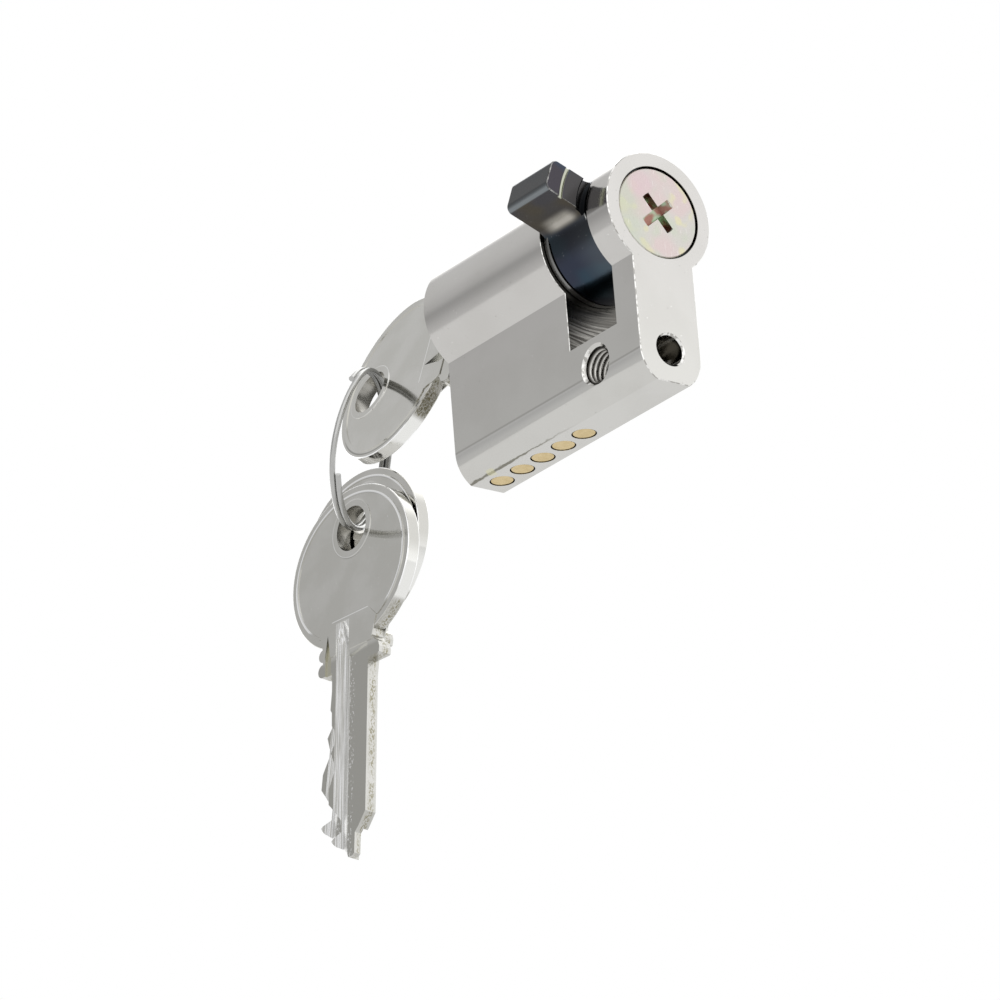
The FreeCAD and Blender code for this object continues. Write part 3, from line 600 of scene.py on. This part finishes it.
def nickel_plated_key(number):
    """Nickel plate on a stamped key.

    Bright faces, streaky form-milled grooves and speckled sheared edges.
    """
    origin, turn = key_places[number]
    if turn is None:
        turn = (Matrix.Rotation(math.radians(key_twist), 3, "Z")
                @ Matrix.Rotation(math.radians(key_lean), 3, "Y")
                @ Matrix.Rotation(math.radians(key_hangs[number]), 3, "X"))
    material, tree, shader, place = begin_metal(f"nickel_plate_on_key_{number}", "#cfceca", 0.12)
    own = add(tree, "Mapping", {"Location": origin, "Rotation": turn.to_euler("XYZ"), "Vector": place},
              vector_type="TEXTURE")
    normal = tree.nodes["Texture Coordinate"].outputs["Normal"]
    own_normal = add(tree, "Mapping", {"Rotation": turn.transposed().to_euler("XYZ"), "Vector": normal},
                     vector_type="VECTOR")
    x, y, z = add(tree, "SeparateXYZ", (own,)).node.outputs
    facing = add(tree, "SeparateXYZ", (own_normal,)).node.outputs
    tilt_x, tilt_y, _ = [add(tree, "Math", (axis,), operation="ABSOLUTE") for axis in facing]
    from_hole = distance(tree, y, key_hole_along, z, key_hole_across)
    off_hole = add(tree, "Math", (from_hole, key_hole_radius), operation="SUBTRACT")
    cloud = grain(tree, own, (5.0, 5.0, 5.0), 3.0)
    # The real specks are finer than a pixel; these are about twice their size.
    fleck = grain(tree, own, (0.26, 0.3, 0.26), 1.0)
    colour = paint(tree, "#c9c8c3", "#d0cfcb", (cloud, 0.38, 0.68))
    colour = paint(tree, colour, "#f4f4f2", (fleck, 0.75, 0.79), 0.7)

    # The form cutter ran along the blade, so its lines do too. The groove is painted brighter along them
    # as a painted reflection.
    lines = grain(tree, own, (0.16, 9.0, 0.16), 4.0)
    marked = where(tree, (facing["X"], 0.15, 0.3))
    inside = where(tree, *strip(z, groove_low, groove_high), (y, neck_end, neck_end + 0.3), marked)
    tip_side = where(tree, *strip(z, tip_groove_low, groove_high),
                     (y, tip_start, tip_start + 0.1), marked)
    groove = strongest(tree, inside, tip_side)
    land = where(tree, (y, blade_start - 0.1, blade_start + 0.6), marked)
    colour = paint(tree, colour, "#b3b2ac", land, 0.95)
    dots = grain(tree, own, (0.22, 0.4, 0.22), 1.0)
    colour = paint(tree, colour, "#ffffff", (dots, 0.6, 0.68), 0.7, *strip(z, 0.1, 1.3, 0.15), land)
    colour = paint(tree, colour, paint(tree, "#d2d1cc", "#ffffff", (lines, 0.4, 0.62)), groove)

    # The stamp raised a bead inside the bow's rim, a collar round the hole and the neck's plate.
    raised = add(tree, "Math", (x,), operation="ABSOLUTE")
    raised = where(tree, (raised, key_half + 0.01, key_half + 0.04))
    bow_y = add(tree, "Math", (y, bow_centre), operation="SUBTRACT")
    bow_y = add(tree, "Math", (bow_y, bead_along), operation="DIVIDE")
    bow_z = add(tree, "Math", (z, bead_across), operation="DIVIDE")
    off_bead = add(tree, "Math", (distance(tree, bow_y, 0.0, bow_z, 0.0), 1.0), operation="SUBTRACT")
    off_bead = where(tree, off_bead, bead_mean_radius)
    on_bow = where(tree, (y, 7.4, 8.2, 1.0, 0.0))
    beside = add(tree, "Math", (off_bead,), operation="ABSOLUTE")
    bead = where(tree, (beside, 0.06, 0.24, 1.0, 0.0), on_bow, 0.25 + 0.75 * bead_lit[number])
    stamped = strongest(tree, bead, where(tree, (off_hole, 0.5, 0.9, 1.0, 0.0)))
    collar_line = where(tree, *strip(off_hole, 0.58, 0.74, 0.06), (y, -6.5, -3.0, 0.35, 1.0))
    neck_line = where(tree, *strip(y, neck_line_along - 0.1, neck_line_along + 0.1, 0.08),
                      *strip(z, -neck_half_width, neck_half_width, 0.3))

    # Milled walls inside the faces are clean, and painted bright as a highlight.
    milled = where(tree, *strip(z, wall_low, wall_high, 0.05),
                   *strip(y, neck_end - 0.1, blade_start + 0.5, 0.1),
                   (facing["X"], 0.05, 0.12, 1.0, 0.0), (tilt_x, 0.85, 0.95, 1.0, 0.0))
    step = where(tree, *strip(y, neck_end + 0.4, blade_start, 0.1),
                 *strip(z, wall_low - 0.3, wall_high + 0.25, 0.1), (tilt_y, 0.6, 0.8))
    clean = strongest(tree, milled, step, groove)

    # Sheared edges are rough, with brass and dirt showing in specks.
    unworked = add(tree, "Math", (1.0, clean), operation="SUBTRACT")
    side = where(tree, (tilt_x, 0.5, 0.7, 1.0, 0.0), (off_hole, -0.2, 0.0), unworked)
    patch = grain(tree, own, (0.5, 3.0, 3.0))
    rough_edge = grain(tree, own, (0.2, 0.32, 0.28), 3.0)
    torn = where(tree, side, (y, rim_rough_from - 0.2, rim_rough_from + 0.3, 0.04, 1.0))
    off_middle = add(tree, "Math", (x, 0.15), operation="ADD")
    off_middle = add(tree, "Math", (off_middle,), operation="ABSOLUTE")
    colour = paint(tree, colour, "#8f8a70", torn, (off_middle, 0.2, 0.75, 1.0, 0.0),
                   (rough_edge, 0.45, 0.58), (patch, 0.34, 0.52, 0.2, 1.0), 0.85)
    off_blade = add(tree, "Math", (z,), operation="ABSOLUTE")
    colour = paint(tree, colour, "#7d7862", torn, *strip(y, rim_rough_from + 0.2, 10.4, 0.2),
                   (rough_edge, 0.4, 0.56, 0.25, 1.0), (off_blade, 4.8, 5.4), neck_scuff[number])
    # The smooth part of the rim and the milled walls get a painted highlight.
    smooth_rim = where(tree, side, (y, rim_rough_from - 0.4, rim_rough_from + 0.1, 1.0, 0.0))
    rim_shine = paint(tree, bow_rim_highlight_colour[number], "#f6f6f3", (y, 0.0, 4.5))
    colour = paint(tree, colour, rim_shine, strongest(tree, smooth_rim, milled, step), 0.9)
    # The hole's wall is painted a little darker as shade.
    in_hole = where(tree, (off_hole, 0.05, 0.15, 1.0, 0.0), (tilt_x, 0.5, 0.7, 1.0, 0.0))
    colour = paint(tree, colour, "#b1afa9", in_hole)
    colour = paint(tree, colour, "#bab8aa", *strip(z, -5.1, -3.8), (y, 9.2, 9.6), *strip(x, 0.6, 0.9))

    # The bead's shaded side, the shade by the rim of the key in the lock, and the bright lines.
    colour = paint(tree, colour, "#8c8b86", raised, *strip(off_bead, -0.42, -0.22, 0.08), on_bow, 0.6)
    colour = paint(tree, colour, "#75746f", *strip(off_bead, 0.5, 0.72, 0.08), (z, 2.0, 4.0),
                   (y, -9.5, -7.0), (y, 6.4, 7.0, 1.0, 0.0), 0.7 * (1.0 - bead_lit[number]))
    colour = paint(tree, colour, "#ffffff", *strip(tilt_x, 0.2, 0.93), (y, 6.4, 7.0, 1.0, 0.0),
                   (off_hole, 0.9, 1.1), 0.9)
    bright = strongest(tree, where(tree, bead, bead_lit[number]), collar_line, neck_line)
    colour = paint(tree, colour, "#ffffff", raised, bright)

    worked = strongest(tree, clean, torn, in_hole)
    rough = where(tree, (cloud, 0.3, 0.7, 0.09, 0.13))
    rough = add(tree, "Math", (worked, 0.14, rough), operation="MULTIPLY_ADD")
    finish_metal(tree, shader, colour, rough, (where(tree, groove, lines), 0.02),
                 (where(tree, torn, rough_edge), 0.03), (stamped, 0.04))
    return material


for number in key_places:
    dress(f"key_{number}", nickel_plated_key(number))

# Key ring: a split ring of bright round wire, about two turns with the ends side by side and a
# step between them. It hangs in the first key's hole and carries the other two.
ring_wire = 0.8
ring_radius = 10.78
ring_gap = 0.01
ring_top = Vector((-0.159, 0.201, 0.967)).normalized()
ring_across = Vector((0.785, 0.62, 0.0))
ring_end_high = 45.0
ring_end_low = 129.0
ring_past_end = 4.0
ring_crossing = -16.0
ring_degrees_per_point = 8
ring_rest = Vector((0.4736, -0.64, -1.312))
key_hole_place = Vector((0.8893, -52.6, 16.5568))


def split_ring():
    """One wire from the high end to the low end, with its step from strand to strand between them."""
    across = (ring_across - ring_top * ring_across.dot(ring_top)).normalized()
    normal = ring_top.cross(across)

    def direction(angle):
        turn = math.radians(angle)
        return ring_top * math.cos(turn) + across * math.sin(turn)

    centre = key_hole_place - ring_rest - direction(ring_crossing) * ring_radius
    strand = (ring_wire + ring_gap) / 2
    step_start = ring_end_low - 360
    step_end = ring_end_high - 360
    points = []
    angle = ring_end_high + ring_past_end
    while angle >= ring_end_low - 720 - ring_past_end:
        share = max(0.0, min(1.0, (step_start - angle) / (step_start - step_end)))
        side = normal * -strand * math.cos(math.pi * share)
        points.append(centre + direction(angle) * ring_radius + side)
        angle -= ring_degrees_per_point
    return wire_curve("split_ring", points, ring_wire)


def bright_ring_wire():
    """Bright drawn wire, painted dull grey near the keys as their shade and reflection."""
    material = drawn_wire("bright_drawn_ring_wire", "#c2c2c0", 0.27)
    tree = material.node_tree
    place = tree.nodes["Vector Math"].outputs[0]
    x, _, z = add(tree, "SeparateXYZ", (place,)).node.outputs
    # The wire is painted darker grey near the keys, as painted shade and the keys' painted reflection.
    near_key_shade = add(tree, "Math", (grain(tree, place, (1.2, 1.2, 1.2)), 2.0, x), operation="MULTIPLY_ADD")
    colour = paint(tree, "#c2c2c0", "#8b8b88", (near_key_shade, 5.8, 9.2, 1.0, 0.0), (z, 0.0, 4.0))
    tree.links.new(colour, tree.nodes["Principled BSDF"].inputs["Base Color"])
    return material


ring = split_ring()
ring.data.materials.append(bright_ring_wire())
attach(ring, "ring")
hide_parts("key_ring")

# Floor: a wide sheet of matt white paper far below, so that the lock hangs in the air as in a
# catalogue picture.
floor_drop = 1.0
floor_side = 12.0
floor_glow = 0.9


def pale_floor():
    """Matt paper: pale and even, and seen and mirrored without shadows."""
    material = bpy.data.materials.new("pale_paper")
    material.use_nodes = True
    tree = material.node_tree
    shader = tree.nodes["Principled BSDF"]
    shader.inputs["Base Color"].default_value = linear("#f2f2f0")
    shader.inputs["Roughness"].default_value = 0.9
    rays = add(tree, "LightPath").node.outputs
    seen = strongest(tree, rays["Is Camera Ray"], rays["Is Glossy Ray"])
    glow = add(tree, "Emission", {"Color": (1, 1, 1, 1), "Strength": floor_glow})
    surface = add(tree, "MixShader", (seen, shader.outputs[0], glow))
    tree.links.new(surface, tree.nodes["Material Output"].inputs["Surface"])
    return material


bpy.ops.mesh.primitive_plane_add(size=floor_side, location=(0, 0, -floor_drop))
floor = bpy.context.active_object
floor.name = "floor"
floor.data.materials.append(pale_floor())
floor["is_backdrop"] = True

# Studio: a white room with soft boxes and grey cards, which only the metal sees. Each light gives
# how bright it is at angles round the lock's long axis, 0 to the right side and 90 straight up.
front_light = [(-180, 1.05), (-147, 1.1), (-115, 1.0), (-90, 0.97), (-66, 0.95), (-47, 0.91),
               (-27, 0.81), (-17, 0.71), (-7, 0.67), (3, 0.6), (13, 0.49), (22, 0.43), (33, 0.59),
               (43, 0.64), (53, 0.69), (63, 0.71), (83, 0.71), (93, 0.68), (101, 0.76), (108, 1.3),
               (114, 1.85), (146, 1.9), (156, 1.3), (168, 1.05)]
rear_light = [(-180, 1.15), (-128, 1.15), (-60, 1.3), (0, 1.22), (60, 1.22), (100, 1.2), (147, 1.2)]
brightest = 2.0


def light_round(tree, share, levels):
    """The brightness at each share of a turn round the long axis."""
    light = add(tree, "ValToRGB", (share,))
    stops = light.node.color_ramp.elements
    while len(stops) < len(levels):
        stops.new(0.5)
    for stop, (angle, level) in zip(stops, levels):
        grey = level / brightest
        stop.position = (angle + 180) / 360
        stop.color = (grey, grey, grey, 1)
    return where(tree, light, brightest)


world = bpy.data.worlds.new("studio")
scene.world = world
world.use_nodes = True
tree = world.node_tree
way = add(tree, "SeparateXYZ", (add(tree, "TexCoord").node.outputs["Generated"],)).node.outputs
angle = add(tree, "Math", (way["Z"], way["X"]), operation="ARCTAN2")
share = add(tree, "MapRange", (angle, -math.pi, math.pi))
# Straight out from the front the room is brighter, and towards +Y the rear light takes over.
steep = where(tree, (way["Y"], -0.96, -0.86, 0.55, 0.0))
front = add(tree, "Math", (light_round(tree, share, front_light), steep), operation="ADD")
rear = light_round(tree, share, rear_light)
room = add(tree, "Mix", {0: where(tree, (way["Y"], 0.0, 0.35)), 2: front, 3: rear}, data_type="FLOAT")
# The camera itself sees plain white behind the lock.
seen = add(tree, "LightPath").node.outputs["Is Camera Ray"]
shown = add(tree, "Mix", {0: seen, 2: room, 3: 1.0}, data_type="FLOAT")
background = tree.nodes["Background"]
background.inputs["Color"].default_value = (1, 1, 1, 1)
tree.links.new(shown, background.inputs["Strength"])

# Camera: a long lens below and behind the lock, at the picture's angle and distance. The distances
# and the target are in metres, the lens and the sensor in millimetres.
camera_azimuth = math.radians(141.515)
camera_elevation = math.radians(-22.079)
camera_roll = math.radians(-4.486)
camera_distance = 0.92387
camera_target = Vector((0.020192, -0.003, -0.020792))
camera_lens = 259.4
camera_sensor = 36.0
camera_near = 0.05
camera_far = 20.0

camera = bpy.data.objects.new("camera", bpy.data.cameras.new("camera"))
scene.collection.objects.link(camera)
camera.data.sensor_width = camera_sensor
camera.data.lens = camera_lens
camera.data.clip_start = camera_near
camera.data.clip_end = camera_far
back = Vector((math.sin(camera_azimuth) * math.cos(camera_elevation),
               -math.cos(camera_azimuth) * math.cos(camera_elevation),
               math.sin(camera_elevation)))
right = Vector((math.cos(camera_azimuth), math.sin(camera_azimuth), 0))
up = back.cross(right)
rolled_right = right * math.cos(camera_roll) + up * math.sin(camera_roll)
rolled_up = up * math.cos(camera_roll) - right * math.sin(camera_roll)
turn = Matrix((rolled_right, rolled_up, back)).transposed().to_4x4()
camera.matrix_world = Matrix.Translation(camera_target + back * camera_distance) @ turn
scene.camera = camera
scene.view_settings.view_transform = "Standard"

# The box of the finished scene, without the floor.
low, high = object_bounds()
